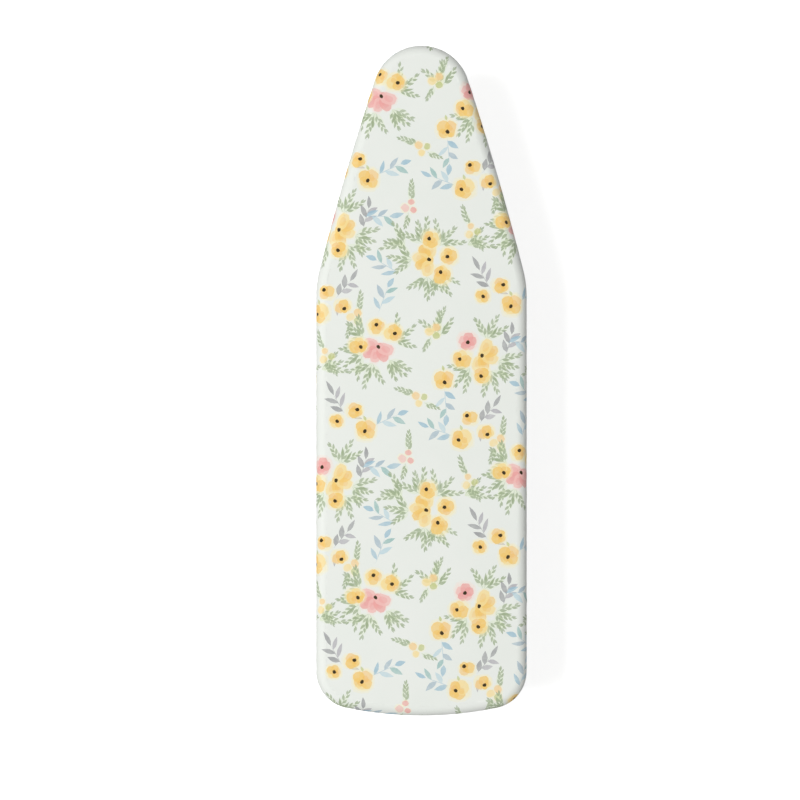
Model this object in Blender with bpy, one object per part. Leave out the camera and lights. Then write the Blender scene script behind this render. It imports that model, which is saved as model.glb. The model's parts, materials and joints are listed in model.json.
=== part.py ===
"""A small padded ironing board that stands on a table on two folding U-shaped legs.

Metres, +Z up.  The origin is under the middle of the board, on the table.  The board's length runs
along Y with its narrow nose at +Y, and its width runs along X.  Both legs are drawn open.
"""

import bpy
import bmesh
from math import atan2, cos, hypot, pi, radians, sin, sqrt
from mathutils import Vector

# ---- Driving dimensions: the board seen from above ---------------------------------------------
LENGTH = 0.700                  # nose tip to tail, over the cover
WIDTH = 0.220                   # across the parallel part, over the cover
NOSE_RADIUS = 0.051             # round tip of the nose
NOSE_LENGTH = 0.262             # nose tip to where the sides become parallel
FLANK_RADIUS = 3.0              # the slightly bowed sides of the nose
SHOULDER_RADIUS = 0.110         # blend from the flank to the parallel side
TAIL_CORNER_RADIUS = 0.039
TAIL_CROWN_RADIUS = 0.390       # the slightly bowed square end

# ---- Driving dimensions: the layers, from the ironing surface down ------------------------------
HEIGHT = 0.150                  # table to ironing surface
COVER_THICKNESS = 0.0012
COVER_EDGE_RADIUS = 0.009       # the soft round of the padded edge
COVER_LOWER_RADIUS = 0.0025
HEM_DEPTH = 0.021               # cloth turned in under the board
ELASTIC_WIDTH = 0.005
PAD_THICKNESS = 0.008
PAD_LOWER_CHAMFER = 0.0015
DECK_THICKNESS = 0.0009
RIM_DEPTH = 0.012
RIM_TOP_FLANGE = 0.011
RIM_RETURN = 0.006
RIM_THICKNESS = 0.0010
RIM_SETBACK = 0.0025            # rim wall inside the cover's outer face
VENT_RADIUS = 0.008
VENT_PITCH_X = 0.034
VENT_PITCH_Y = 0.038
VENT_MARGIN = 0.030             # vent centre to the cover's outer face

# ---- Driving dimensions: the cross channels and the rib under the deck -------------------------
CHANNEL_DEPTH = 0.010
CHANNEL_WIDTH = 0.026
CHANNEL_FLANGE = 0.007
CHANNEL_THICKNESS = 0.0012
RIB_WIDTH = 0.020
RIB_FLANGE = 0.006

# ---- Driving dimensions: the folding legs -------------------------------------------------------
PIVOT_BELOW_HEM = 0.0105        # room for a folded leg under the hem
FRONT_PIVOT_SETBACK = 0.165     # nose tip to the front axle
REAR_PIVOT_SETBACK = 0.115      # tail to the rear axle
LEG_INSET = 0.026               # edge of the cover to the outer side of an upright
LEG_LEAN = radians(12)          # open legs lean outwards, past the vertical, against their stops
TUBE_RADIUS = 0.006
TUBE_WALL = 0.0010
BEND_RADIUS = 0.018
TUBE_END_PAST_PIVOT = 0.007
AXLE_RADIUS = 0.003
WASHER_RADIUS = 0.0058
WASHER_THICKNESS = 0.0014
CAP_RADIUS = 0.0055
CAP_LENGTH = 0.0045
CAP_GRIP = 0.003                # how far the axle reaches into a cap
FOOT_WALL = 0.0027
SOLE_THICKNESS = 0.0020
FOOT_SOLE_HALF_WIDTH = 0.0065
FOOT_LENGTH = 0.024
FOOT_CLIP_CLEARANCE = 0.003     # between a foot and the clip that the folded crossbar lies in

# ---- Driving dimensions: brackets, rivets and storage clips ------------------------------------
BRACKET_THICKNESS = 0.0016
BRACKET_FLANGE_LENGTH = 0.026
BRACKET_HALF_WIDTH = 0.011
EAR_MARGIN = 0.008              # metal round the axle hole
STOP_START = 0.009              # along the upright, from the axle to the stop tab
STOP_END = 0.020
STOP_REACH = 0.013              # how far the tab stands out across the upright
RIVET_RADIUS = 0.0020
RIVET_HEAD_RADIUS = 0.0040
RIVET_HEAD_HEIGHT = 0.0016
RIVET_TAIL_RADIUS = 0.0033
RIVET_TAIL_HEIGHT = 0.0014
RIVET_EDGE = 0.006              # rivet centre to the end of the flange
RIVET_PITCH = 0.013
CLIP_WALL = 0.0016
CLIP_LENGTH = 0.020
CLIP_PAD_THICKNESS = 0.0024
CLIP_RIVET_OFFSET = 0.014       # along the board, from the clip's saddle to its rivet
CLIP_ARM = 0.0055
CLIP_FLARE = 0.0009

# ---- Clearances ---------------------------------------------------------------------------------
GAP = 0.0003                    # between pieces that touch
HOLE_GAP = 0.0003               # round an axle or a rivet

# ---- Faceting -----------------------------------------------------------------------------------
TUBE_SIDES = 16
SMALL_SIDES = 12
AXLE_SIDES = 24
BEND_STEPS = 5

# ---- Heights worked out from the layers ---------------------------------------------------------
PAD_TOP = HEIGHT - COVER_THICKNESS - GAP
PAD_BOTTOM = PAD_TOP - PAD_THICKNESS
DECK_TOP = PAD_BOTTOM - GAP
DECK_BOTTOM = DECK_TOP - DECK_THICKNESS
FRAME_TOP = DECK_BOTTOM - GAP               # top of the rim, channels and rib
RIM_BOTTOM = FRAME_TOP - RIM_DEPTH
HEM_TOP = RIM_BOTTOM - GAP
HEM_BOTTOM = HEM_TOP - COVER_THICKNESS
CHANNEL_BOTTOM = FRAME_TOP - CHANNEL_DEPTH
PIVOT_HEIGHT = HEM_BOTTOM - PIVOT_BELOW_HEM
FOOT_RADIUS = TUBE_RADIUS + GAP + FOOT_WALL
FOOT_SOLE = TUBE_RADIUS + GAP + SOLE_THICKNESS      # tube centre to the flat sole
LEG_LENGTH = (PIVOT_HEIGHT - FOOT_SOLE) / cos(LEG_LEAN)
FRONT_PIVOT_Y = LENGTH / 2 - FRONT_PIVOT_SETBACK
REAR_PIVOT_Y = -LENGTH / 2 + REAR_PIVOT_SETBACK

COLOURS = {                     # name: colour, roughness, metallic
    "printed_cotton": ((0.86, 0.89, 0.82), 0.85, 0.0),
    "elastic": ((0.90, 0.90, 0.87), 0.80, 0.0),
    "foam": ((0.88, 0.86, 0.78), 0.95, 0.0),
    "enamelled_steel": ((0.80, 0.81, 0.80), 0.42, 0.0),
    "white_tube": ((0.88, 0.89, 0.89), 0.30, 0.0),
    "zinc_steel": ((0.66, 0.67, 0.68), 0.38, 1.0),
    "rubber": ((0.20, 0.21, 0.22), 0.75, 0.0),
    "nylon": ((0.82, 0.84, 0.84), 0.45, 0.0),
}


# ---- Materials and mesh helpers -----------------------------------------------------------------
def material(name):
    """The named finish, made the first time that it is asked for."""
    found = bpy.data.materials.get(name)
    if found:
        return found
    colour, roughness, metallic = COLOURS[name]
    made = bpy.data.materials.new(name)
    made.use_nodes = True
    shader = made.node_tree.nodes["Principled BSDF"]
    shader.inputs["Base Color"].default_value = (*colour, 1.0)
    shader.inputs["Roughness"].default_value = roughness
    shader.inputs["Metallic"].default_value = metallic
    return made


def add_object(name, bm, finish, smooth_angle=radians(35)):
    """Turn a bmesh into a named object with outward faces."""
    bmesh.ops.recalc_face_normals(bm, faces=bm.faces)
    mesh = bpy.data.meshes.new(name)
    bm.to_mesh(mesh)
    bm.free()
    mesh.shade_smooth()
    mesh.set_sharp_from_angle(angle=smooth_angle)
    obj = bpy.data.objects.new(name, mesh)
    bpy.context.scene.collection.objects.link(obj)
    if finish:
        mesh.materials.append(material(finish))
    return obj


def skin(rings, looped=False):
    """Join rings of equally many points into a closed body: capped, or looped end to start."""
    bm = bmesh.new()
    rows = [[bm.verts.new(point) for point in ring] for ring in rings]
    pairs = list(zip(rows, rows[1:]))
    if looped:
        pairs.append((rows[-1], rows[0]))
    else:
        bm.faces.new(rows[0])
        bm.faces.new(rows[-1])
    for low, high in pairs:
        for i in range(len(low)):
            j = (i + 1) % len(low)
            bm.faces.new((low[i], low[j], high[j], high[i]))
    return bm


def prism(outline, start, end):
    """Extrude an outline of (y, z) points along X."""
    return skin([[(x, y, z) for y, z in outline] for x in (start, end)])


def circle(radius, sides):
    """Points round a circle, as pairs."""
    return [(radius * cos(2 * pi * i / sides), radius * sin(2 * pi * i / sides)) for i in range(sides)]


def turned_z(profile, sides, place):
    """Turn a list of (radius, height) about a vertical axis through place."""
    return [[(place[0] + x, place[1] + y, place[2] + height) for x, y in circle(radius, sides)]
            for radius, height in profile]


def turned_x(profile, sides, y, z):
    """Turn a list of (radius, x) about the axis along X through (y, z)."""
    return [[(x, y + a, z + b) for a, b in circle(radius, sides)] for radius, x in profile]


def cutter(name, bm):
    """A helper body that is only used by Boolean modifiers."""
    obj = add_object(name, bm, None)
    obj.hide_render = True
    obj.display_type = "WIRE"
    return obj


def combine(obj, other, operation):
    """Add or cut away another body."""
    modifier = obj.modifiers.new(f"{operation.lower()}_{other.name}", "BOOLEAN")
    modifier.operation = operation
    modifier.object = other
    modifier.solver = "EXACT"


# ---- The outline of the board -------------------------------------------------------------------
def arc(centre, radius, start, end, steps):
    """Points on an arc, start and end included."""
    angles = [start + (end - start) * i / steps for i in range(steps + 1)]
    return [(centre[0] + radius * cos(a), centre[1] + radius * sin(a)) for a in angles]


def flank_centre(nose, shoulder):
    """Centre of the large arc that touches the nose and shoulder arcs from outside."""
    to_nose = FLANK_RADIUS - NOSE_RADIUS
    to_shoulder = FLANK_RADIUS - SHOULDER_RADIUS
    dx, dy = shoulder[0] - nose[0], shoulder[1] - nose[1]
    span = hypot(dx, dy)
    along = (to_nose ** 2 - to_shoulder ** 2 + span ** 2) / (2 * span)
    aside = sqrt(to_nose ** 2 - along ** 2)
    return (nose[0] + along * dx / span + aside * dy / span,
            nose[1] + along * dy / span - aside * dx / span)


def board_outline(inset=0.0):
    """The outline moved inwards by inset: tangent arcs, the same number of points each time."""
    nose = (0.0, LENGTH / 2 - NOSE_RADIUS)
    shoulder = (WIDTH / 2 - SHOULDER_RADIUS, LENGTH / 2 - NOSE_LENGTH)
    flank = flank_centre(nose, shoulder)
    crown = (0.0, -LENGTH / 2 + TAIL_CROWN_RADIUS)
    corner_x = WIDTH / 2 - TAIL_CORNER_RADIUS
    corner = (corner_x, crown[1] - sqrt((TAIL_CROWN_RADIUS - TAIL_CORNER_RADIUS) ** 2 - corner_x ** 2))
    nose_end = atan2(nose[1] - flank[1], nose[0] - flank[0])
    flank_end = atan2(shoulder[1] - flank[1], shoulder[0] - flank[0])
    corner_end = atan2(corner[1] - crown[1], corner[0] - crown[0])
    right = arc(nose, NOSE_RADIUS - inset, pi / 2, nose_end, 9)
    right += arc(flank, FLANK_RADIUS - inset, nose_end, flank_end, 3)[1:]
    right += arc(shoulder, SHOULDER_RADIUS - inset, flank_end, 0.0, 3)[1:]
    right += arc(corner, TAIL_CORNER_RADIUS - inset, 0.0, corner_end, 6)
    right += arc(crown, TAIL_CROWN_RADIUS - inset, corner_end, -pi / 2, 3)[1:]
    left = [(-x, y) for x, y in reversed(right[1:-1])]
    return right + left


def outline_ring(inset, z):
    """The outline at one height, as 3-D points."""
    return [(x, y, z) for x, y in board_outline(inset)]


def half_width(y, inset):
    """Half the width of the inset outline at one place along the board."""
    points = board_outline(inset)
    widths = [0.0]
    for (x0, y0), (x1, y1) in zip(points, points[1:] + points[:1]):
        if min(y0, y1) <= y <= max(y0, y1) and y0 != y1:
            widths.append(x0 + (x1 - x0) * (y - y0) / (y1 - y0))
    return max(widths)


def edge_round(inset, top, radius, steps):
    """Rings round the upper edge, from the flat top out to the vertical side."""
    angles = [pi / 2 * i / steps for i in range(steps + 1)]
    return [outline_ring(inset + radius * (1 - sin(a)), top - radius * (1 - cos(a))) for a in angles]


# ---- Soft pieces --------------------------------------------------------------------------------
def make_cover():
    """Fitted cloth cover: over the top, down the side and turned in under the rim."""
    wall = COVER_THICKNESS
    low = COVER_LOWER_RADIUS
    outer = edge_round(0.0, HEIGHT, COVER_EDGE_RADIUS, 4)
    outer += [outline_ring(0.0, HEM_BOTTOM + low),
              outline_ring(low * (1 - cos(pi / 4)), HEM_BOTTOM + low * (1 - sin(pi / 4))),
              outline_ring(low, HEM_BOTTOM),
              outline_ring(HEM_DEPTH, HEM_BOTTOM)]
    inner = [outline_ring(HEM_DEPTH, HEM_TOP),
             outline_ring(low, HEM_TOP),
             outline_ring(wall, HEM_BOTTOM + low)]
    inner += list(reversed(edge_round(wall, HEIGHT - wall, COVER_EDGE_RADIUS - wall, 4)))
    return add_object("cover", skin(outer + inner), "printed_cotton")


def make_elastic():
    """Flat elastic sewn along the free edge of the hem."""
    start = HEM_DEPTH + GAP
    end = start + ELASTIC_WIDTH
    rings = [outline_ring(start, HEM_BOTTOM), outline_ring(end, HEM_BOTTOM),
             outline_ring(end, HEM_TOP), outline_ring(start, HEM_TOP)]
    return add_object("hem_elastic", skin(rings, looped=True), "elastic")


def make_pad():
    """Foam pad with its upper edge rounded to fill the cover."""
    side = COVER_THICKNESS + GAP
    radius = COVER_EDGE_RADIUS - COVER_THICKNESS - GAP
    rings = edge_round(side, PAD_TOP, radius, 3)
    rings += [outline_ring(side, PAD_BOTTOM + PAD_LOWER_CHAMFER * 0.2),
              outline_ring(side + PAD_LOWER_CHAMFER, PAD_BOTTOM)]
    return add_object("foam_pad", skin(rings), "foam")


# ---- Deck and frame -----------------------------------------------------------------------------
def vent_centres():
    """Staggered rows of vents that miss the channels, the rib and the rim."""
    channels = (FRONT_PIVOT_Y, REAR_PIVOT_Y)
    keep_off = CHANNEL_WIDTH / 2 + CHANNEL_FLANGE + VENT_RADIUS
    rows = int(LENGTH / VENT_PITCH_Y)
    centres = []
    for row in range(-rows // 2, rows // 2 + 1):
        y = row * VENT_PITCH_Y
        if min(abs(y - channel) for channel in channels) < keep_off:
            continue
        over_rib = REAR_PIVOT_Y < y < FRONT_PIVOT_Y
        start = RIB_WIDTH / 2 + RIB_FLANGE + VENT_RADIUS if over_rib else 0.0
        reach = min(half_width(y - VENT_RADIUS, VENT_MARGIN), half_width(y + VENT_RADIUS, VENT_MARGIN))
        x = start + (row % 2) * VENT_PITCH_X / 2
        while x < reach:
            centres += [(x, y), (-x, y)] if x else [(x, y)]
            x += VENT_PITCH_X
    return centres


def make_deck():
    """Vented steel sheet: the outline and the vents filled flat, then given a thickness."""
    bm = bmesh.new()
    loops = [board_outline(RIM_SETBACK)]
    loops += [[(cx + x, cy + y) for x, y in circle(VENT_RADIUS, 6)] for cx, cy in vent_centres()]
    for loop in loops:
        verts = [bm.verts.new((x, y, DECK_BOTTOM)) for x, y in loop]
        for i, vert in enumerate(verts):
            bm.edges.new((vert, verts[(i + 1) % len(verts)]))
    bmesh.ops.triangle_fill(bm, use_beauty=True, use_dissolve=False, edges=bm.edges, normal=(0, 0, 1))
    made = bmesh.ops.extrude_face_region(bm, geom=bm.faces[:])
    raised = [item for item in made["geom"] if isinstance(item, bmesh.types.BMVert)]
    bmesh.ops.translate(bm, verts=raised, vec=(0, 0, DECK_THICKNESS))
    return add_object("deck_sheet", bm, "enamelled_steel")


def make_rim():
    """Rolled steel rim: a C-section open towards the middle of the board."""
    start = RIM_SETBACK
    wall = RIM_THICKNESS
    section = [(start, FRAME_TOP), (start, RIM_BOTTOM),
               (start + RIM_RETURN, RIM_BOTTOM), (start + RIM_RETURN, RIM_BOTTOM + wall),
               (start + wall, RIM_BOTTOM + wall), (start + wall, FRAME_TOP - wall),
               (start + RIM_TOP_FLANGE, FRAME_TOP - wall), (start + RIM_TOP_FLANGE, FRAME_TOP)]
    rings = [outline_ring(inset, z) for inset, z in section]
    return add_object("deck_rim", skin(rings, looped=True), "enamelled_steel")


def hat_section(width, flange):
    """Section of a channel with two flanges at the top, as (across, height) points."""
    half = width / 2
    wall = CHANNEL_THICKNESS
    top = FRAME_TOP
    bottom = CHANNEL_BOTTOM
    return [(-half - flange, top), (-half - flange, top - wall), (-half, top - wall), (-half, bottom),
            (half, bottom), (half, top - wall), (half + flange, top - wall), (half + flange, top),
            (half - wall, top), (half - wall, bottom + wall), (-half + wall, bottom + wall),
            (-half + wall, top)]


def make_channel(name, y):
    """Cross channel that carries one pair of leg brackets."""
    edge = CHANNEL_WIDTH / 2 + CHANNEL_FLANGE
    inset = RIM_SETBACK + RIM_TOP_FLANGE + GAP
    reach = min(half_width(y - edge, inset), half_width(y + edge, inset)) - GAP
    section = [(y + across, z) for across, z in hat_section(CHANNEL_WIDTH, CHANNEL_FLANGE)]
    return add_object(name, prism(section, -reach, reach), "enamelled_steel")


def make_rib():
    """Lengthwise rib between the two channels; it carries the storage clips."""
    inset = CHANNEL_WIDTH / 2 + CHANNEL_FLANGE + GAP
    ends = (REAR_PIVOT_Y + inset, FRONT_PIVOT_Y - inset)
    section = hat_section(RIB_WIDTH, RIB_FLANGE)
    rings = [[(x, y, z) for x, z in section] for y in ends]
    return add_object("centre_rib", skin(rings), "enamelled_steel")


# ---- Rivets -------------------------------------------------------------------------------------
def make_rivet(name, x, y, clamped):
    """Dome-headed rivet up through a flange of the given thickness and the channel web."""
    head_face = CHANNEL_BOTTOM - GAP - clamped - GAP
    tail_face = CHANNEL_BOTTOM + CHANNEL_THICKNESS + GAP
    dome = [(RIVET_HEAD_RADIUS * cos(a), head_face - RIVET_HEAD_HEIGHT * sin(a))
            for a in (radians(75), radians(40), 0.0)]
    profile = dome + [(RIVET_RADIUS, head_face), (RIVET_RADIUS, tail_face),
                      (RIVET_TAIL_RADIUS, tail_face),
                      (RIVET_TAIL_RADIUS * 0.7, tail_face + RIVET_TAIL_HEIGHT)]
    return add_object(name, skin(turned_z(profile, SMALL_SIDES, (x, y, 0.0))), "zinc_steel")


def rivet_hole(name, x, y, clamped):
    """Cutter for the rivet's hole."""
    low = CHANNEL_BOTTOM - 2 * GAP - clamped - RIVET_HEAD_HEIGHT
    high = CHANNEL_BOTTOM + CHANNEL_THICKNESS + RIVET_TAIL_HEIGHT
    radius = RIVET_RADIUS + HOLE_GAP
    rings = turned_z([(radius, low), (radius, high)], SMALL_SIDES, (x, y, 0.0))
    return cutter(name, skin(rings))


# ---- One leg and what holds it ------------------------------------------------------------------
class Leg:
    """Places for one leg: outward is +1 for the front leg and -1 for the rear leg."""

    def __init__(self, label, pivot_y, outward):
        self.label = label
        self.y = pivot_y
        self.reach = half_width(pivot_y, LEG_INSET) - TUBE_RADIUS
        self.outward = outward
        self.down = Vector((0.0, outward * sin(LEG_LEAN), -cos(LEG_LEAN)))
        self.out = Vector((0.0, outward * cos(LEG_LEAN), sin(LEG_LEAN)))
        self.pivot = Vector((0.0, pivot_y, PIVOT_HEIGHT))
        self.ear_outer = self.reach - TUBE_RADIUS - 2 * GAP - WASHER_THICKNESS

    def at(self, x, along, away=0.0):
        """A point x across, so far down the leg and so far out from its plane."""
        return self.pivot + Vector((x, 0.0, 0.0)) + self.down * along + self.out * away

    def side(self, along, away):
        """The same point seen from the side, as (y, z)."""
        return self.at(0.0, along, away).yz.to_tuple()

    def foot_centre(self):
        return self.at(0.0, LEG_LENGTH)


def leg_path(leg):
    """Centre line of the U and its direction, as (x, along) pairs."""
    corner = leg.reach - BEND_RADIUS
    drop = LEG_LENGTH - BEND_RADIUS
    left = [(-x, along, -dx, dy) for x, along, dx, dy in bend_points(corner, drop)]
    right = [(x, along, -dx, -dy) for x, along, dx, dy in reversed(bend_points(corner, drop))]
    start = [(-leg.reach, -TUBE_END_PAST_PIVOT, 0.0, 1.0)]
    end = [(leg.reach, -TUBE_END_PAST_PIVOT, 0.0, -1.0)]
    return start + left + right + end


def bend_points(corner, drop):
    """The bend from upright to crossbar: place and direction at each step."""
    angles = [pi / 2 * i / BEND_STEPS for i in range(BEND_STEPS + 1)]
    return [(corner + BEND_RADIUS * cos(a), drop + BEND_RADIUS * sin(a), -sin(a), cos(a)) for a in angles]


def tube_rings(leg, radius):
    """Rings of one wall of the tube, square to its centre line."""
    rings = []
    for x, along, dx, dy in leg_path(leg):
        ring = []
        for a, b in circle(radius, TUBE_SIDES):
            ring.append(leg.at(x + a * dy, along - a * dx, b))
        rings.append(ring)
    return rings


def make_leg_tube(leg, bore):
    """Hollow U-shaped steel tube, drilled near both ends for the axle."""
    outer = tube_rings(leg, TUBE_RADIUS)
    inner = tube_rings(leg, TUBE_RADIUS - TUBE_WALL)
    tube = add_object(f"{leg.label}_leg_tube", skin(outer + inner[::-1], looped=True), "white_tube")
    combine(tube, bore, "DIFFERENCE")


def make_axle(leg):
    """Plain rod through both brackets and both uprights."""
    end = leg.reach + TUBE_RADIUS + GAP + CAP_GRIP
    rings = turned_x([(AXLE_RADIUS, -end), (AXLE_RADIUS, end)], AXLE_SIDES, leg.y, PIVOT_HEIGHT)
    add_object(f"{leg.label}_axle", skin(rings), "zinc_steel")


def make_axle_bore(leg):
    """Cutter for the axle's running holes."""
    end = leg.reach + 2 * TUBE_RADIUS
    radius = AXLE_RADIUS + HOLE_GAP
    rings = turned_x([(radius, -end), (radius, end)], AXLE_SIDES, leg.y, PIVOT_HEIGHT)
    return cutter(f"{leg.label}_axle_bore", skin(rings))


def make_axle_cap(leg, side, sign):
    """Push-on cap over one end of the axle: a cup with a domed end."""
    face = leg.reach + TUBE_RADIUS + GAP
    hole = AXLE_RADIUS + HOLE_GAP
    floor = face + CAP_GRIP + GAP
    profile = [(hole, floor), (hole, face), (CAP_RADIUS, face), (CAP_RADIUS, face + CAP_GRIP),
               (CAP_RADIUS * 0.85, face + CAP_LENGTH * 0.88), (CAP_RADIUS * 0.5, face + CAP_LENGTH)]
    rings = turned_x([(r, sign * x) for r, x in profile], TUBE_SIDES, leg.y, PIVOT_HEIGHT)
    add_object(f"{leg.label}_{side}_axle_cap", skin(rings), "nylon")


def make_washer(leg, side, sign):
    """Spacer washer between the bracket's ear and the upright."""
    start = leg.ear_outer + GAP
    end = start + WASHER_THICKNESS
    hole = AXLE_RADIUS + HOLE_GAP
    profile = [(hole, start), (WASHER_RADIUS, start), (WASHER_RADIUS, end), (hole, end)]
    rings = turned_x([(r, sign * x) for r, x in profile], AXLE_SIDES, leg.y, PIVOT_HEIGHT)
    add_object(f"{leg.label}_{side}_washer", skin(rings, looped=True), "nylon")


def foot_section(leg):
    """Outer section of a foot round the crossbar: round above, with a flat sole on the table."""
    centre = leg.foot_centre()
    corner = atan2(FOOT_SOLE_HALF_WIDTH, FOOT_SOLE)
    points = []
    for i in range(AXLE_SIDES):
        turn = 2 * pi * i / AXLE_SIDES
        off = min(turn, 2 * pi - turn)
        square = FOOT_SOLE / max(cos(off), cos(corner))
        blend = min(max((off - corner) / (pi / 2 - corner), 0.0), 1.0)
        radius = square + (FOOT_RADIUS - square) * blend
        points.append((centre.y + radius * sin(turn), centre.z - radius * cos(turn)))
    return points


def make_foot(leg, side, sign):
    """Rubber sleeve foot on the crossbar, beside the bend."""
    end = leg.reach - BEND_RADIUS
    start = max(end - FOOT_LENGTH, CLIP_LENGTH / 2 + FOOT_CLIP_CLEARANCE)
    centre = leg.foot_centre()
    bore = [(centre.y + (TUBE_RADIUS + GAP) * sin(2 * pi * i / AXLE_SIDES),
             centre.z - (TUBE_RADIUS + GAP) * cos(2 * pi * i / AXLE_SIDES)) for i in range(AXLE_SIDES)]
    outer = foot_section(leg)
    rings = [[(sign * x, y, z) for y, z in section]
             for x, section in ((start, outer), (end, outer), (end, bore), (start, bore))]
    add_object(f"{leg.label}_{side}_foot", skin(rings, looped=True), "rubber")


def ear_section(leg):
    """Side outline of a bracket's ear: from the flange, round the axle, to the stop tab's edge."""
    top = CHANNEL_BOTTOM - GAP
    away = TUBE_RADIUS + GAP
    wall = BRACKET_THICKNESS
    centre = (0.0, 0.0)
    low = arc(centre, EAR_MARGIN, -pi / 2, -pi, 4)
    points = [(leg.y - leg.outward * BRACKET_HALF_WIDTH, top),
              (leg.y + leg.outward * BRACKET_HALF_WIDTH, top),
              leg.side(STOP_START, away + wall), leg.side(STOP_END, away + wall), leg.side(STOP_END, away)]
    points += [(leg.y + leg.outward * across, PIVOT_HEIGHT + up) for across, up in low]
    return points


def make_bracket(leg, side, sign, bore, holes):
    """Folded bracket: flange against the channel, ear for the axle, tab that stops the leg."""
    outer = leg.ear_outer
    inner = outer - BRACKET_THICKNESS
    bracket = add_object(f"{leg.label}_{side}_bracket",
                         prism(ear_section(leg), sign * inner, sign * outer), "zinc_steel")
    top = CHANNEL_BOTTOM - GAP
    low = top - BRACKET_THICKNESS
    span = (leg.y - BRACKET_HALF_WIDTH, leg.y + BRACKET_HALF_WIDTH)
    flange = [(span[0], low), (span[1], low), (span[1], top), (span[0], top)]
    overlap = BRACKET_THICKNESS / 2
    combine(bracket, cutter(f"{leg.label}_{side}_bracket_flange",
                            prism(flange, sign * (outer - overlap - BRACKET_FLANGE_LENGTH),
                                  sign * (outer - overlap))), "UNION")
    away = TUBE_RADIUS + GAP
    tab = [leg.side(STOP_START, away), leg.side(STOP_START, away + BRACKET_THICKNESS),
           leg.side(STOP_END, away + BRACKET_THICKNESS), leg.side(STOP_END, away)]
    combine(bracket, cutter(f"{leg.label}_{side}_bracket_tab",
                            prism(tab, sign * (inner + overlap), sign * (outer + STOP_REACH))), "UNION")
    combine(bracket, bore, "DIFFERENCE")
    for hole in holes:
        combine(bracket, hole, "DIFFERENCE")


def rivet_places(leg, sign):
    """Across the board: where one bracket's two rivets stand."""
    first = leg.ear_outer - BRACKET_FLANGE_LENGTH + RIVET_EDGE - BRACKET_THICKNESS / 2
    return [sign * first, sign * (first + RIVET_PITCH)]


def clip_section(leg):
    """Side outline of a storage clip: pad against the rib, saddle round the folded crossbar."""
    saddle_y = leg.y - leg.outward * LEG_LENGTH
    top = CHANNEL_BOTTOM - GAP - PIVOT_HEIGHT
    pad = top - CLIP_PAD_THICKNESS
    inner = TUBE_RADIUS + GAP
    outer = inner + CLIP_WALL
    neck = outer * cos(pi / 4)
    tip = inner + CLIP_FLARE
    tail = CLIP_RIVET_OFFSET + RIVET_HEAD_RADIUS + GAP
    outside = [(-neck, top), (tail, top), (tail, pad), (neck, pad)]
    outside += arc((0.0, 0.0), outer, pi / 4, 0.0, 3) + [(tip + CLIP_WALL, -CLIP_ARM), (tip, -CLIP_ARM)]
    inside = arc((0.0, 0.0), inner, 0.0, pi, 10)
    outside_left = [(-tip, -CLIP_ARM), (-tip - CLIP_WALL, -CLIP_ARM)]
    outside_left += arc((0.0, 0.0), outer, pi, 3 * pi / 4, 3)
    section = outside + inside + outside_left
    return [(saddle_y - leg.outward * across, PIVOT_HEIGHT + up) for across, up in section]


def make_clip(leg, rib):
    """Nylon clip that the crossbar lies in when the leg is folded, with its rivet."""
    clip = add_object(f"{leg.label}_storage_clip",
                      prism(clip_section(leg), -CLIP_LENGTH / 2, CLIP_LENGTH / 2), "nylon")
    y = leg.y - leg.outward * (LEG_LENGTH + CLIP_RIVET_OFFSET)
    hole = rivet_hole(f"{leg.label}_clip_rivet_hole", 0.0, y, CLIP_PAD_THICKNESS)
    combine(clip, hole, "DIFFERENCE")
    combine(rib, hole, "DIFFERENCE")
    make_rivet(f"{leg.label}_clip_rivet", 0.0, y, CLIP_PAD_THICKNESS)


def make_leg_set(leg, channel):
    """Everything of one leg: tube, axle, caps, washers, feet, brackets and rivets."""
    bore = make_axle_bore(leg)
    make_leg_tube(leg, bore)
    make_axle(leg)
    for side, sign in (("left", -1), ("right", 1)):
        holes = []
        for number, x in enumerate(rivet_places(leg, sign), start=1):
            hole = rivet_hole(f"{leg.label}_{side}_rivet_hole_{number}", x, leg.y, BRACKET_THICKNESS)
            holes.append(hole)
            combine(channel, hole, "DIFFERENCE")
            make_rivet(f"{leg.label}_{side}_rivet_{number}", x, leg.y, BRACKET_THICKNESS)
        make_bracket(leg, side, sign, bore, holes)
        make_axle_cap(leg, side, sign)
        make_washer(leg, side, sign)
        make_foot(leg, side, sign)


def main():
    for obj in list(bpy.data.objects):
        bpy.data.objects.remove(obj, do_unlink=True)
    make_cover()
    make_elastic()
    make_pad()
    make_deck()
    make_rim()
    rib = make_rib()
    front = Leg("front", FRONT_PIVOT_Y, 1)
    rear = Leg("rear", REAR_PIVOT_Y, -1)
    for leg in (front, rear):
        channel = make_channel(f"{leg.label}_channel", leg.y)
        make_leg_set(leg, channel)
        make_clip(leg, rib)


main()
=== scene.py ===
# %% [markdown]
# # A sleeve ironing board
# A sleeve board is a small, narrow ironing board on two folding wire legs. A shirt sleeve is drawn
# over its round nose. The frame, made in the CAD step, holds its steel deck, rails and legs, at
# their true size and place. This lesson dresses that frame: a printed cotton cover stretched over
# a foam pad, the elastic and stitches that hold it, and a finish for every metal and rubber part.

# %% Load the frame
import json
import random
from math import atan2, cos, hypot, pi, radians, sin, sqrt

import bmesh
import bpy
import numpy as np
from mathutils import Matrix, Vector
from mathutils.geometry import delaunay_2d_cdt

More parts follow.
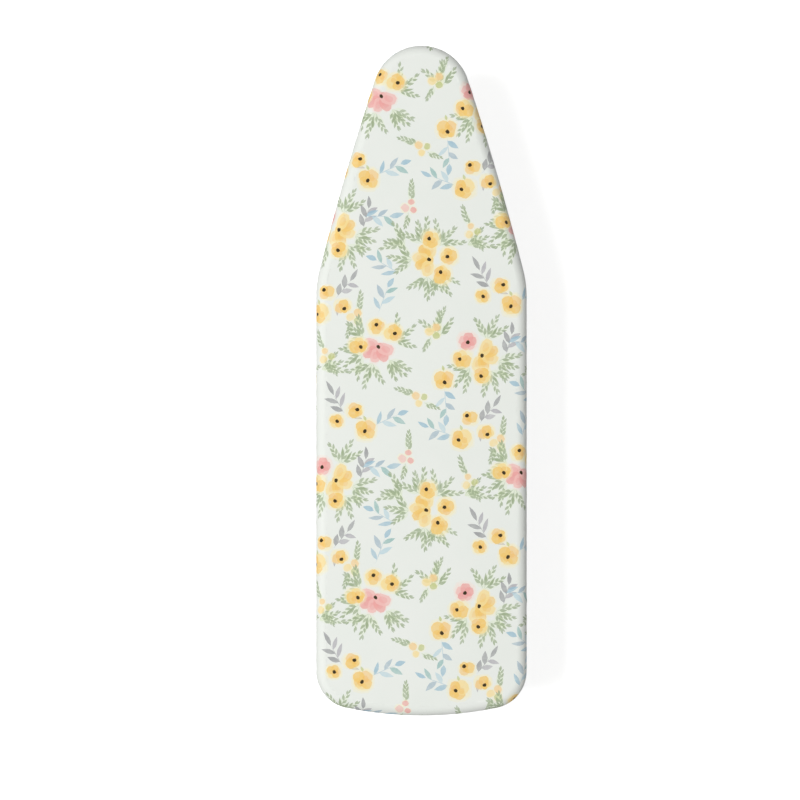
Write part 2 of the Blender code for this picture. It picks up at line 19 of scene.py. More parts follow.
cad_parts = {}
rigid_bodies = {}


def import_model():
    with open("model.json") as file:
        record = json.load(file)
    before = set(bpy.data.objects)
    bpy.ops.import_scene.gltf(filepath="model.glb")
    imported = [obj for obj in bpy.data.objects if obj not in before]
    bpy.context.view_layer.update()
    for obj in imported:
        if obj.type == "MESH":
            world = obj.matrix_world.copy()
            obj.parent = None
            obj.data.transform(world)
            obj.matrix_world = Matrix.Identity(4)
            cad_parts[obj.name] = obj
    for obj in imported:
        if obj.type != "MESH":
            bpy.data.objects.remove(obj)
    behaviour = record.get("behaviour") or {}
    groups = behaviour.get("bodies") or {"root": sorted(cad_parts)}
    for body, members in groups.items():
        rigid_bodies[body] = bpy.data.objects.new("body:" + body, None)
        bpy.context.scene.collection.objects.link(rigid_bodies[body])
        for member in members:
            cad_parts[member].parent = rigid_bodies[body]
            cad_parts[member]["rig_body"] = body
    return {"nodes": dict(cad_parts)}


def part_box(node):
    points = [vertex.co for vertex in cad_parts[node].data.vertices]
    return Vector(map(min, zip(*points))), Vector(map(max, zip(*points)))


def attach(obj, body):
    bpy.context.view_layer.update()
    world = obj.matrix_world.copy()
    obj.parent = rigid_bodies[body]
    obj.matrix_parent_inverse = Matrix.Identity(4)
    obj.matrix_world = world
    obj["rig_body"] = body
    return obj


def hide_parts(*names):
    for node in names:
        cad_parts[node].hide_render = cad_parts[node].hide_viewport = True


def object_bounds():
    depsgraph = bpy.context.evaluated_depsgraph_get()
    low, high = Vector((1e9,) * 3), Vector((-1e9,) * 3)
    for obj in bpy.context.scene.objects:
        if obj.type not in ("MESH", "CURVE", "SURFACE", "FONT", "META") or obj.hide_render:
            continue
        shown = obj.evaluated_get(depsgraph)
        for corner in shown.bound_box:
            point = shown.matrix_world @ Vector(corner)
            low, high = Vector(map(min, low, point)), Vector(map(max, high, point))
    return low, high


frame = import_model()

cad_low, cad_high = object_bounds()

# %% [markdown]
# ## Where the eye stands
# The board is seen from straight above, nose up, a little right of the middle of the view. A long
# lens, three metres up, keeps the legs hidden under the board and the sides from spreading, as a
# shorter lens close by would not.

# %% Camera
MM = 0.001
VIEW_ACROSS = 0.833             # what the view takes in at the height of the ironing surface
CAMERA_ABOVE = 3.0              # above the ironing surface
CAMERA_ASIDE = (-0.0224, -0.0203)

camera_data = bpy.data.cameras.new("camera_above")
camera_data.sensor_width = 36.0
camera_data.lens = camera_data.sensor_width * CAMERA_ABOVE / VIEW_ACROSS
camera = bpy.data.objects.new("camera_above", camera_data)
camera.location = (*CAMERA_ASIDE, cad_high.z + CAMERA_ABOVE)
bpy.context.scene.collection.objects.link(camera)
bpy.context.scene.camera = camera
print("lens", round(camera_data.lens, 1), "mm")

# %% [markdown]
# ## Shader sums in plain Python
# A finish is a small sum over the surface: "ground colour, less a little as painted shade where the threads
# dip".
# Blender holds such a sum as linked nodes. One class wraps a node's output so that Python's own
# signs add the Math nodes, and one method makes every other node, so the sums below read as sums.

# %% The socket wrapper
class Amount:
    """A number that varies over a surface; arithmetic on it adds Math nodes."""

    def __init__(self, finish, output):
        self.finish = finish
        self.output = output

    def sum(self, operation, first, second=0.0):
        return self.finish.node("ShaderNodeMath", {"operation": operation}, {0: first, 1: second})

    def __add__(self, other):
        return self.sum("ADD", self, other)

    def __radd__(self, other):
        return self.sum("ADD", other, self)

    def __sub__(self, other):
        return self.sum("SUBTRACT", self, other)

    def __rsub__(self, other):
        return self.sum("SUBTRACT", other, self)

    def __mul__(self, other):
        return self.sum("MULTIPLY", self, other)

    def __rmul__(self, other):
        return self.sum("MULTIPLY", other, self)

    def __pow__(self, other):
        return self.sum("POWER", self, other)

    def wave(self):
        return self.sum("SINE", self)

    def size(self):
        return self.sum("ABSOLUTE", self)

    def between(self, low, high):
        """0 below low, 1 above high, and smooth between them."""
        settings = {"interpolation_type": "SMOOTHSTEP"}
        return self.finish.node("ShaderNodeMapRange", settings, {0: self, 1: low, 2: high})


# %% The node maker
def screen_colour(red, green, blue):
    """A colour given as on a screen, 0 to 255, in the linear light that shaders use."""
    def linear(v):
        v /= 255
        return v / 12.92 if v <= 0.04045 else ((v + 0.055) / 1.055) ** 2.4
    return (linear(red), linear(green), linear(blue), 1.0)


class Finish:
    """A material built round one Principled shader."""

    def __init__(self, name, **constants):
        self.material = bpy.data.materials.new(name)
        self.material.use_nodes = True
        self.tree = self.material.node_tree
        self.shader = self.tree.nodes["Principled BSDF"]
        for socket, value in constants.items():
            self.shader.inputs[socket.replace("_", " ")].default_value = value

    def feed(self, socket, value):
        if isinstance(value, Amount):
            self.tree.links.new(value.output, socket)
        else:
            socket.default_value = value

    def node(self, kind, settings, inputs, output=0):
        made = self.tree.nodes.new(kind)
        for name, value in settings.items():
            if name == "stops":
                while len(made.color_ramp.elements) < len(value):
                    made.color_ramp.elements.new(0.5)
                for element, (place, colour) in zip(made.color_ramp.elements, value):
                    element.position, element.color = place, colour
            else:
                setattr(made, name, value)
        for key, value in inputs.items():
            self.feed(made.inputs[key], value)
        return Amount(self, made.outputs[output])

    def mix(self, first, second, share, blend="MIX"):
        settings = {"data_type": "RGBA", "blend_type": blend}
        return self.node("ShaderNodeMix", settings, {0: share, 6: first, 7: second}, 2)

    def noise(self, place, scale, detail=2.0, rough=0.5):
        inputs = {"Vector": place, "Scale": scale, "Detail": detail, "Roughness": rough}
        return self.node("ShaderNodeTexNoise", {}, inputs)

    def bump(self, height, depth, strength=1.0):
        inputs = {"Height": height, "Distance": depth, "Strength": strength}
        self.set("Normal", self.node("ShaderNodeBump", {}, inputs))

    def object_place(self):
        return self.node("ShaderNodeTexCoord", {}, {}, "Object")

    def set(self, socket, value):
        self.feed(self.shader.inputs[socket], value)


print("shader helpers ready")

# %% [markdown]
# ## A white table and soft light
# The board stands on a plain white table. One broad light hangs high on the left and an even sky
# fills the rest, so the rolled edge on the right falls into the deepest shade, the nose and the
# tail into less, and the left edge into hardly any, which shows how thick the pad is. The table
# glows a little, which keeps its shadows faint, and doesn't throw light up on the rolled edges.

# %% Table
FLOOR_SIZE = 14.0
bpy.ops.object.select_all(action="DESELECT")
bpy.ops.mesh.primitive_plane_add(size=FLOOR_SIZE)
floor = bpy.context.object
floor.name = "white_table"
table_white = Finish("white_table", Roughness=0.7)
table_noise = table_white.noise(table_white.object_place(), 3.0)
table_white.set("Base Color", table_white.mix((0.90, 0.90, 0.895, 1), (0.93, 0.93, 0.93, 1), table_noise))
table_white.shader.inputs["Emission Color"].default_value = (1, 1, 1, 1)
table_white.shader.inputs["Emission Strength"].default_value = 0.62
floor.data.materials.append(table_white.material)
floor.visible_diffuse = False
print("table", FLOOR_SIZE, "m across")

# %% Backdrop
BACKDROP_RADIUS = 6.0
BACKDROP_HEIGHT = 8.0
bpy.ops.object.select_all(action="DESELECT")
bpy.ops.mesh.primitive_cylinder_add(vertices=96, radius=BACKDROP_RADIUS, depth=BACKDROP_HEIGHT,
                                    end_fill_type="NOTHING", location=(0, 0, BACKDROP_HEIGHT / 2 - 0.1))
backdrop = bpy.context.object
backdrop.name = "white_backdrop"
paper = Finish("white_paper", Base_Color=(0, 0, 0, 1), Roughness=1.0, Specular_IOR_Level=0.0,
               Emission_Color=(1, 1, 1, 1), Emission_Strength=0.93)
backdrop.data.materials.append(paper.material)
backdrop.visible_diffuse = False
backdrop.visible_shadow = False
print("backdrop", 2 * BACKDROP_RADIUS, "m across")


# %% Lights
def add_softbox(name, place, size, power):
    """A square light that faces the middle of the board."""
    data = bpy.data.lights.new(name, "AREA")
    data.shape = "SQUARE"
    data.size = size
    data.energy = power
    light = bpy.data.objects.new(name, data)
    light.location = place
    light.rotation_euler = (Vector(place) * -1).to_track_quat("-Z", "Y").to_euler()
    bpy.context.scene.collection.objects.link(light)


KEY_PLACE = (-1.9, 0.0, 3.8)
KEY_SIZE = 1.6
KEY_POWER = 118
SKY_STRENGTH = 0.36
add_softbox("key_light", KEY_PLACE, KEY_SIZE, KEY_POWER)
world = bpy.data.worlds.new("soft_sky")
world.use_nodes = True
world.node_tree.nodes["Background"].inputs["Color"].default_value = (1.0, 1.0, 1.0, 1)
world.node_tree.nodes["Background"].inputs["Strength"].default_value = SKY_STRENGTH
bpy.context.scene.world = world
bpy.context.scene.view_settings.view_transform = "Standard"
print("lights: key and sky")

# %% [markdown]
# ## The outline
# The board's outline is a chain of arcs that touch: a round nose, long faintly bowed flanks, a
# shoulder on each side, straight parallel sides, rounded tail corners and a slightly bowed tail.
# The cover's cloth folds down along the same outline moved inwards, so one description of the
# right half, arc by arc, serves to draw a ring of points and to find how far a point of cloth
# lies beyond the fold. Millimetres are handier than metres here.

# %% Arcs of the right half
cover_low, cover_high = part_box("cover")
LENGTH = (cover_high.y - cover_low.y) / MM
WIDTH = (cover_high.x - cover_low.x) / MM
TOP = cover_high.z / MM
HEM = cover_low.z / MM
NOSE_RADIUS = 51.0
NOSE_LENGTH = 262.0             # nose tip to where the sides become parallel
FLANK_RADIUS = 3000.0
SHOULDER_RADIUS = 110.0
TAIL_CORNER_RADIUS = 39.0
TAIL_CROWN_RADIUS = 390.0


def outline_arcs():
    """(centre x, centre y, radius, first angle, last angle) from the nose tip to the tail."""
    nose = (0.0, LENGTH / 2 - NOSE_RADIUS)
    shoulder = (WIDTH / 2 - SHOULDER_RADIUS, LENGTH / 2 - NOSE_LENGTH)
    to_nose, to_shoulder = FLANK_RADIUS - NOSE_RADIUS, FLANK_RADIUS - SHOULDER_RADIUS
    dx, dy = shoulder[0] - nose[0], shoulder[1] - nose[1]
    span = hypot(dx, dy)
    along = (to_nose ** 2 - to_shoulder ** 2 + span ** 2) / (2 * span)
    aside = sqrt(to_nose ** 2 - along ** 2)
    flank = (nose[0] + (along * dx + aside * dy) / span, nose[1] + (along * dy - aside * dx) / span)
    crown = (0.0, TAIL_CROWN_RADIUS - LENGTH / 2)
    corner_x = WIDTH / 2 - TAIL_CORNER_RADIUS
    corner = (corner_x, crown[1] - sqrt((TAIL_CROWN_RADIUS - TAIL_CORNER_RADIUS) ** 2 - corner_x ** 2))
    turns = [pi / 2, atan2(nose[1] - flank[1], nose[0] - flank[0]),
             atan2(shoulder[1] - flank[1], shoulder[0] - flank[0]), 0.0, 0.0,
             atan2(corner[1] - crown[1], corner[0] - crown[0]), -pi / 2]
    return [(*nose, NOSE_RADIUS, turns[0], turns[1]), (*flank, FLANK_RADIUS, turns[1], turns[2]),
            (*shoulder, SHOULDER_RADIUS, turns[2], turns[3]),
            (*corner, TAIL_CORNER_RADIUS, turns[4], turns[5]),
            (*crown, TAIL_CROWN_RADIUS, turns[5], turns[6])]


ARCS = outline_arcs()
SIDE_TOP, SIDE_BOTTOM = ARCS[2][1], ARCS[3][1]       # the straight side runs between these heights
HALF_ROUND = sum(r * (a - b) for _, _, r, a, b in ARCS) + SIDE_TOP - SIDE_BOTTOM
print("once round the board:", round(2 * HALF_ROUND), "mm")


# %% A ring of points round the outline
def outline_point(run, inset):
    """The point at a distance along the outline from the nose tip, moved inwards by inset."""
    side = 1 if (run % (2 * HALF_ROUND)) <= HALF_ROUND else -1
    left = min(run % (2 * HALF_ROUND), -run % (2 * HALF_ROUND))
    for i, (cx, cy, radius, first, last) in enumerate(ARCS):
        if left <= radius * (first - last):
            angle = first - left / radius
            return side * (cx + (radius - inset) * cos(angle)), cy + (radius - inset) * sin(angle)
        left -= radius * (first - last)
        if i == 2:
            if left <= SIDE_TOP - SIDE_BOTTOM:
                return side * (WIDTH / 2 - inset), SIDE_TOP - left
            left -= SIDE_TOP - SIDE_BOTTOM
    return 0.0, -LENGTH / 2 + inset


def outline_ring(inset, count):
    return [outline_point(2 * HALF_ROUND * i / count, inset) for i in range(count)]


print("widest ring point:", round(max(x for x, _ in outline_ring(0.0, 400)), 1), "mm")

# %% [markdown]
# ## The cut of the cover
# A cover is cut flat, larger than the board all round. It is laid over the pad, rolls over the
# edge, runs down the side, turns under the rim and ends in a hem that an elastic draws in. So a
# point of flat cloth finds its place from one number, how far it lies beyond the fold line.
# Drawing in leaves too much cloth at the hem, which shows as small upright puckers.
# A cloth simulation would find much the same shape, but would blur the print's fine mesh and take
# a minute each time, so the puckers are made as waves that grow towards the hem.

# %% From flat cloth to the board
EDGE_RADIUS = 11.0              # the soft round of the padded edge
LOWER_RADIUS = 2.5
HEM_DEPTH = 21.0                # cloth turned in under the board, from the outline
SIDE_DROP = TOP - EDGE_RADIUS - HEM - LOWER_RADIUS
ROLL_LENGTH = pi / 2 * EDGE_RADIUS
LOWER_LENGTH = pi / 2 * LOWER_RADIUS
HEM_START = ROLL_LENGTH + SIDE_DROP + LOWER_LENGTH
CUT_BEYOND = HEM_START + HEM_DEPTH - LOWER_RADIUS


def beyond_fold(x, y):
    """For flat points: distance beyond the fold line (or -1 inside), outward way, run round the board."""
    right = np.abs(x)
    beyond = np.full(x.shape, -1.0)
    way_x, way_y, run = np.zeros(x.shape), np.ones(x.shape), np.zeros(x.shape)
    start = 0.0
    for i, (cx, cy, radius, first, last) in enumerate(ARCS):
        angle = np.arctan2(y - cy, right - cx)
        distance = np.hypot(right - cx, y - cy) - (radius - EDGE_RADIUS)
        here = (angle <= first + 1e-9) & (angle >= last - 1e-9) & (distance > 0)
        beyond[here] = distance[here]
        way_x[here], way_y[here] = np.cos(angle[here]), np.sin(angle[here])
        run[here] = start + radius * (first - angle[here])
        start += radius * (first - last)
        if i == 2:
            here = (y <= SIDE_TOP) & (y >= SIDE_BOTTOM) & (right > WIDTH / 2 - EDGE_RADIUS)
            beyond[here] = right[here] - WIDTH / 2 + EDGE_RADIUS
            way_x[here], way_y[here] = 1.0, 0.0
            run[here] = start + SIDE_TOP - y[here]
            start += SIDE_TOP - SIDE_BOTTOM
    left = x < 0
    way_x[left] *= -1
    run[left] = 2 * HALF_ROUND - run[left]
    return beyond, way_x, way_y, run


def smooth_rise(value, low, high):
    t = np.clip((value - low) / (high - low), 0, 1)
    return t * t * (3 - 2 * t)


def pucker(run):
    """Waves round the hem, uneven in size; each fits a whole number of times round the board."""
    turn = 2 * pi * run / (2 * HALF_ROUND)
    waves = np.sin(89 * turn + 1.1 * np.sin(5 * turn)) + 0.7 * np.sin(61 * turn + 2.0)
    waves += 0.5 * np.sin(107 * turn + 0.7) + 0.4 * np.sin(31 * turn + 4.0)
    return waves * (0.75 + 0.25 * np.sin(3 * turn + 1.0) + 0.2 * np.sin(11 * turn))


PUCKER_SIDE = 0.34              # how far the puckers stand out on the side
PUCKER_HEM = 0.30               # and how far they rise and fall under the hem
SOFTNESS = 0.35                 # swell of the padded top


def lay_on_board(x, y):
    """Places flat cloth on the board; all in millimetres."""
    s, way_x, way_y, run = beyond_fold(x, y)
    roll = np.clip(s, 0, ROLL_LENGTH) / EDGE_RADIUS
    out = EDGE_RADIUS * np.sin(roll)
    z = TOP - EDGE_RADIUS * (1 - np.cos(roll))
    z -= np.clip(s - ROLL_LENGTH, 0, SIDE_DROP)
    lower = np.clip(s - ROLL_LENGTH - SIDE_DROP, 0, LOWER_LENGTH) / LOWER_RADIUS
    out -= LOWER_RADIUS * (1 - np.cos(lower))
    z -= LOWER_RADIUS * np.sin(lower)
    out -= np.clip(s - HEM_START, 0, None)
    waves = pucker(run)
    on_side = smooth_rise(s, ROLL_LENGTH * 0.7, HEM_START)
    on_side *= 1 - smooth_rise(s, HEM_START - 3, HEM_START + 2)
    out += PUCKER_SIDE * waves * on_side
    z += PUCKER_HEM * (waves - 1.2) * smooth_rise(s, HEM_START - 2, CUT_BEYOND)
    swell = np.sin(x / 31 + 0.6 * np.sin(y / 57)) * np.sin(y / 43 + 1.0)
    z += SOFTNESS * swell * (1 - smooth_rise(s, -1.5, 6))
    step = s - np.where(s > 0, 0, s)
    return np.stack([x - way_x * step + way_x * np.where(s > 0, out, 0),
                     y - way_y * step + way_y * np.where(s > 0, out, 0), z], 1)


print("cut beyond the fold:", round(CUT_BEYOND, 1), "mm")

# %% [markdown]
# ## The print
# The cotton is printed with loose watercolour flowers, buds and sprays of leaves that repeat along
# a slanting lattice, as a printing roller lays them. A texture of dots or noise would look like
# neither petals nor leaves, so each motif is drawn as a small closed shape by a few drawing
# functions, and every shape becomes part of the cloth's own mesh. Its edge then stays crisp at any
# size. Later shapes lie over earlier ones, as layers of ink do.

# %% Inks
INK = {
    "gold": (248, 206, 116), "pale gold": (251, 225, 156), "peach": (248, 211, 148),
    "pink": (241, 168, 163), "pale pink": (246, 194, 188), "green": (160, 177, 140),
    "olive": (196, 204, 130), "teal": (140, 188, 184),
    "blue": (154, 193, 211), "pale blue": (190, 217, 226), "grey blue": (162, 186, 200),
    "grey": (148, 149, 152), "mauve": (176, 173, 180), "eye": (58, 48, 22),
    "gold wash": (252, 240, 190), "pink wash": (249, 226, 214), "green wash": (226, 238, 204),
    "deep gold": (244, 190, 96), "deep pink": (236, 152, 150),
}
INK = {name: screen_colour(*rgb)[:3] for name, rgb in INK.items()}
motifs = []                     # (ink, strength, outline) for one repeat, in printing order
eyes = []                       # the flowers' dark middles, printed last
hand = random.Random(4)         # the small unevenness of a hand-painted motif


def print_shape(ink, strength, outline):
    motifs.append((INK[ink], strength * hand.uniform(0.86, 1.0), outline))


print(len(INK), "inks")


# %% Leaves
def leaf(x, y, heading, length, width, ink, strength=0.88, bend=None, sides=4):
    """A slender leaf from its foot to its tip, a little bent."""
    bend = hand.uniform(-12, 12) if bend is None else bend
    left, right = [], []
    for i in range(1, sides):
        t = i / sides
        turn = radians(heading + bend * t)
        half = width / 2 * sin(pi * t ** 0.85)
        cx, cy = x + length * t * cos(turn), y + length * t * sin(turn)
        left.append((cx - half * sin(turn), cy + half * cos(turn)))
        right.append((cx + half * sin(turn), cy - half * cos(turn)))
    turn = radians(heading + bend)
    tip = (x + length * cos(turn), y + length * sin(turn))
    print_shape(ink, strength, [(x, y)] + right + [tip] + left[::-1])


def stem(x, y, heading, length, ink):
    leaf(x, y, heading, length, 0.9, ink, 0.65, 0, 3)


def sprig(x, y, heading, length, pairs, leaf_length, ink):
    """A curved stem with pairs of narrow leaves that shrink towards the tip."""
    length *= 1.12
    bend = hand.uniform(-14, 14)
    leaf(x, y, heading, length * 1.1, leaf_length * 1.2, "green wash", 0.5, bend)
    leaf(x, y, heading, length, 0.9, ink, 0.65, bend)
    for i in range(2 * pairs):
        t = (i + 1.5) / (2 * pairs + 0.9)
        side = 40 if i % 2 else -40
        turn = radians(heading + bend * t)
        size = leaf_length * (1.1 - 0.35 * t) * hand.uniform(0.85, 1.15)
        leaf(x + length * t * cos(turn), y + length * t * sin(turn), heading + bend * t + side,
             size, size * 0.40, ink, 0.9, -0.35 * side)
    turn = radians(heading + bend)
    leaf(x + length * cos(turn), y + length * sin(turn), heading + bend,
         leaf_length * 0.75, leaf_length * 0.3, ink)


# %% Petals
PETAL_SQUARENESS = 2.8          # 2 would be an ellipse
FLOWER_SQUARENESS = 2.6


def blob_outline(x, y, width, height, turn=0.0, points=10, wobble=0.06):
    """A soft, slightly square closed shape."""
    outline = []
    for i in range(points):
        a = 2 * pi * i / points
        rounder = abs(cos(a)) ** PETAL_SQUARENESS + abs(sin(a)) ** PETAL_SQUARENESS
        reach = (1 + hand.uniform(-wobble, wobble)) * rounder ** (-1 / PETAL_SQUARENESS)
        px, py = width / 2 * cos(a) * reach, height / 2 * sin(a) * reach
        outline.append((x + px * cos(turn) - py * sin(turn), y + px * sin(turn) + py * cos(turn)))
    return outline


def blob(x, y, width, height, ink, strength, turn=0.0, points=10, wobble=0.06):
    print_shape(ink, strength, blob_outline(x, y, width, height, turn, points, wobble))


def eye(x, y):
    motifs.append((INK["eye"], 1.0, blob_outline(x, y, 4.3, 3.7, hand.uniform(0, pi), 7, 0.14)))


def flower(x, y, width, height, eye_x, eye_y, family="gold"):
    """Five petals round an eye that sits off the middle, over a pale wash."""
    blob(x, y, width * 1.42, height * 1.42, family + " wash", 0.35, 0, 11, 0.06)
    blob(x, y, width * 1.2, height * 1.2, family + " wash", 0.6, 0, 11, 0.06)
    tones = {"gold": ("gold", "pale gold", "gold", "peach", "gold"),
             "pink": ("pink", "pale pink", "pink", "pale pink", "pink")}[family]
    start = hand.uniform(0, 2 * pi)
    for i, tone in enumerate(tones):
        a = start + 2 * pi * i / 5
        reach = 2.5
        while (abs((eye_x + reach * cos(a)) / (width / 2)) ** FLOWER_SQUARENESS
               + abs((eye_y + reach * sin(a)) / (height / 2)) ** FLOWER_SQUARENESS) < 1:
            reach += 0.25
        middle = 0.52 * reach
        blob(x + eye_x + middle * cos(a), y + eye_y + middle * sin(a),
             reach * 1.04, max(reach * 1.1, (width + height) / 3.6), tone, 0.9, a, 10, 0.07)
    for a in (start + 0.6, start + 3.4):
        blob(x + eye_x * 0.4 + width * 0.2 * cos(a), y + eye_y * 0.4 + height * 0.2 * sin(a),
             width * 0.34, height * 0.38, "deep " + family, 0.45, a, 8, 0.12)
    eyes.append((x + eye_x, y + eye_y))


def buds(tone, *places):
    for x, y, size in places:
        blob(x, y, size * 1.3, size * 1.3, "gold wash", 0.4, 0, 9, 0.08)
        blob(x, y, size * 0.92, size, tone, 0.85, hand.uniform(0, 3), 9, 0.1)


print("drawing functions ready")

# %% [markdown]
# ## One repeat of the print
# A textile designer thinks in bouquets, not in single leaves: a bloom with small flowers round it,
# greenery reaching out between them, and loose branches and buds to fill the gaps. So a function
# composes each kind of bouquet by a rule, with a little unevenness, and one repeat only says where
# the bouquets stand. The places are round figures, in millimetres of cloth from the middle of the
# board, and headings are degrees from +X. Another print needs only another short list of places.

# %% Branches, sprays and small flowers
BLUES = ("blue", "pale blue", "grey blue", "teal")
GREYS = ("grey", "mauve")


def stepped(x, y, heading, reach):
    """The place a given distance away in a given direction."""
    return x + reach * cos(radians(heading)), y + reach * sin(radians(heading))


def branch(x, y, heading, inks, length=30.0, leaves=5):
    """A thin stem with broad leaves on alternate sides and one at its tip."""
    stem(x, y, heading, length, inks[0])
    for i in range(leaves):
        at_tip = i == leaves - 1
        side = 0 if at_tip else 44 - 88 * (i % 2)
        foot = stepped(x, y, heading, length * (0.15 + 0.8 * i / (leaves - 1)))
        leaf(*foot, heading + side + hand.uniform(-9, 9), hand.uniform(12, 17),
             hand.uniform(4.4, 6.2), inks[i % len(inks)])


def spray(x, y, heading, spread=80.0, count=3, length=19.0):
    """Feathery sprigs and a slim blade between each two, all from one foot."""
    for i in range(count):
        turn = heading + spread * (i / (count - 1) - 0.5) + hand.uniform(-8, 8)
        sprig(x, y, turn, length * hand.uniform(0.85, 1.15), 3, 7.4, "green")
        if i < count - 1:
            leaf(*stepped(x, y, turn, 4), turn + spread / (2 * count), length * 0.75, 2.8, "green")


def small_flower(x, y, size=16.0, family="gold"):
    flower(x, y, size * hand.uniform(0.95, 1.12), size * hand.uniform(0.88, 1.08),
           hand.uniform(-3.5, 3.5), hand.uniform(-3.0, 3.0), family)


def open_bloom(x, y, size, family, facing):
    """A large flower seen from one side: broad petals fan out from its eye."""
    petals = [(*stepped(x, y, facing, 0.08 * size), 0.5 * size, 0.5 * size, 0.0)]
    for i in range(5):
        heading = facing + 46 * (i - 2) + hand.uniform(-7, 7)
        place = stepped(x, y, heading, size * hand.uniform(0.32, 0.40))
        long, wide = size * hand.uniform(0.58, 0.70), size * hand.uniform(0.40, 0.50)
        petals.append((*place, long, wide, radians(heading)))
    for px, py, long, wide, turn in petals:
        blob(px, py, long * 1.2, wide * 1.25, family + " wash", 0.45, turn, 12, 0.04)
    for i, (px, py, long, wide, turn) in enumerate(petals):
        blob(px, py, long, wide, (family, "pale " + family)[i % 2], 0.92, turn, 12, 0.07)
        blob(px, py, long * 0.55, wide * 0.55, "deep " + family, 0.35, turn, 9, 0.1)
    eyes.append((x, y))


print("branches, sprays and flowers ready")


# %% Bouquets
def bouquet(x, y, family, facing, around, greenery, guest="gold", reach=21.0):
    """A large bloom; gold flowers and one guest flower stand round it, sprays reach out between."""
    for heading in greenery:
        spray(*stepped(x, y, heading, 0.85 * reach), heading)
    open_bloom(x, y, 25.0, family, facing)
    for i, heading in enumerate(around):
        small_flower(*stepped(x, y, heading, reach), 16.0, guest if i == 0 else "gold")


def pair(x, y, heading):
    """Two gold flowers side by side in front of a grey branch."""
    branch(x, y, heading, GREYS, 24.0)
    leaf(*stepped(x, y, heading + 230, 5), heading + 225, 14, 4.4, "mauve")
    small_flower(*stepped(x, y, heading + 100, 11), 14.0)
    small_flower(*stepped(x, y, heading - 100, 11), 14.0)


def single(x, y, heading, inks):
    """One gold flower at the foot of a loose branch."""
    branch(*stepped(x, y, heading, 8), heading, inks)
    small_flower(x, y, 18.0)
    leaf(*stepped(x, y, 90, 9), hand.uniform(60, 120), 6, 3, "olive")


def bud_sprig(x, y, heading, tones):
    """Three buds close together with a sprig above and one below."""
    sprig(*stepped(x, y, heading, 5), heading + 15, 18, 4, 6.6, "green")
    sprig(*stepped(x, y, heading + 180, 6), heading + 190, 13, 3, 6.0, "green")
    for i, tone in enumerate(tones):
        buds(tone, (*stepped(x, y, heading + 120 * i, 5.0), hand.uniform(6.0, 9.0)))


print("bouquets ready")

# %% Where the bouquets stand in one repeat
for x, y, heading in ((-65, -90, 0), (-45, 70, 70), (-25, -150, 150)):
    branch(x, y, heading, BLUES)
spray(45, -120, 35, 60)
spray(-20, -120, 150, 70)
spray(15, -215, 95, 90)
bouquet(-45, 35, "pink", 255, (95, 45, 175), (150, 205, 25, 310, 250))
bouquet(60, -235, "gold", 335, (135, 190, 270), (75, 340, 295, 225), guest="pink")
bouquet(5, -135, "gold", 170, (85, 10, 310), (110, 55, 180, 265, 300))
pair(60, -45, 50)
pair(-80, -35, 120)
single(45, 200, 160, BLUES)
single(-55, 210, 25, BLUES)
single(20, -260, 275, BLUES)
branch(85, -235, 75, GREYS, 24.0)
for x, y, heading in ((50, -105, 110), (80, -65, 60), (-5, -280, 140), (10, -210, 60)):
    bud_sprig(x, y, heading, ("peach", "pale gold", "olive"))
bud_sprig(-15, -80, 75, ("pink", "pale pink", "pink"))
for place in eyes:
    eye(*place)
print("shapes in one repeat:", len(motifs), "points:", sum(len(m[2]) for m in motifs))

# %% [markdown]
# ## Printing and cutting the cloth
# The cloth's mesh is a flat triangulation that keeps every drawn edge: the cut line, each motif,
# and loose points that make the rolled edge and the hem fine enough to curve. Delaunay
# triangulation does this in one call and says which shapes cover each triangle, so each triangle's
# ink is worked out like layers of thin paint. The flat cloth is then laid on the board. A second
# layer just inside it gives the cloth its thickness.

# %% Repeat the print over the cut
REPEAT_ALONG = (3.0, 261.0)
REPEAT_ACROSS = (149.0, -131.0)
RING_POINTS = 620
cut_line = outline_ring(EDGE_RADIUS - CUT_BEYOND, RING_POINTS)[::-1]      # anticlockwise, as the others
cut_half_width = max(x for x, _ in cut_line)
cut_low, cut_high = min(y for _, y in cut_line), max(y for _, y in cut_line)
shapes = [(None, 0.0, cut_line)]
for i in range(-3, 4):
    for j in range(-3, 4):
        dx = REPEAT_ALONG[0] * i + REPEAT_ACROSS[0] * j
        dy = REPEAT_ALONG[1] * i + REPEAT_ACROSS[1] * j
        for ink, strength, outline in motifs:
            xs = [x + dx for x, _ in outline]
            ys = [y + dy for _, y in outline]
            if (min(xs) < cut_half_width and max(xs) > -cut_half_width
                    and min(ys) < cut_high and max(ys) > cut_low):
                shapes.append((ink, strength, list(zip(xs, ys))))
print("shapes on the cloth:", len(shapes))

# %% Loose points for the curves
def steps(start, stop, size):
    count = max(1, round((stop - start) / size))
    return [start + (stop - start) * i / count for i in range(count)]


ring_places = (steps(-2.0, ROLL_LENGTH, 2.0) + steps(ROLL_LENGTH, ROLL_LENGTH + SIDE_DROP, 3.2)
               + steps(ROLL_LENGTH + SIDE_DROP, HEM_START, 1.3) + steps(HEM_START, CUT_BEYOND, 4.6))
loose = [point for beyond in ring_places for point in outline_ring(EDGE_RADIUS - beyond, RING_POINTS)]
GRID = 7.0
fold_line = outline_ring(EDGE_RADIUS + 4.0, 400)
for y in np.arange(GRID - LENGTH / 2, LENGTH / 2, GRID):
    reach = max([abs(px) for px, py in fold_line if abs(py - y) < 3.0] or [0.0])
    loose += [(x, y) for x in np.arange(-reach, reach, GRID)]
print("loose points:", len(loose))


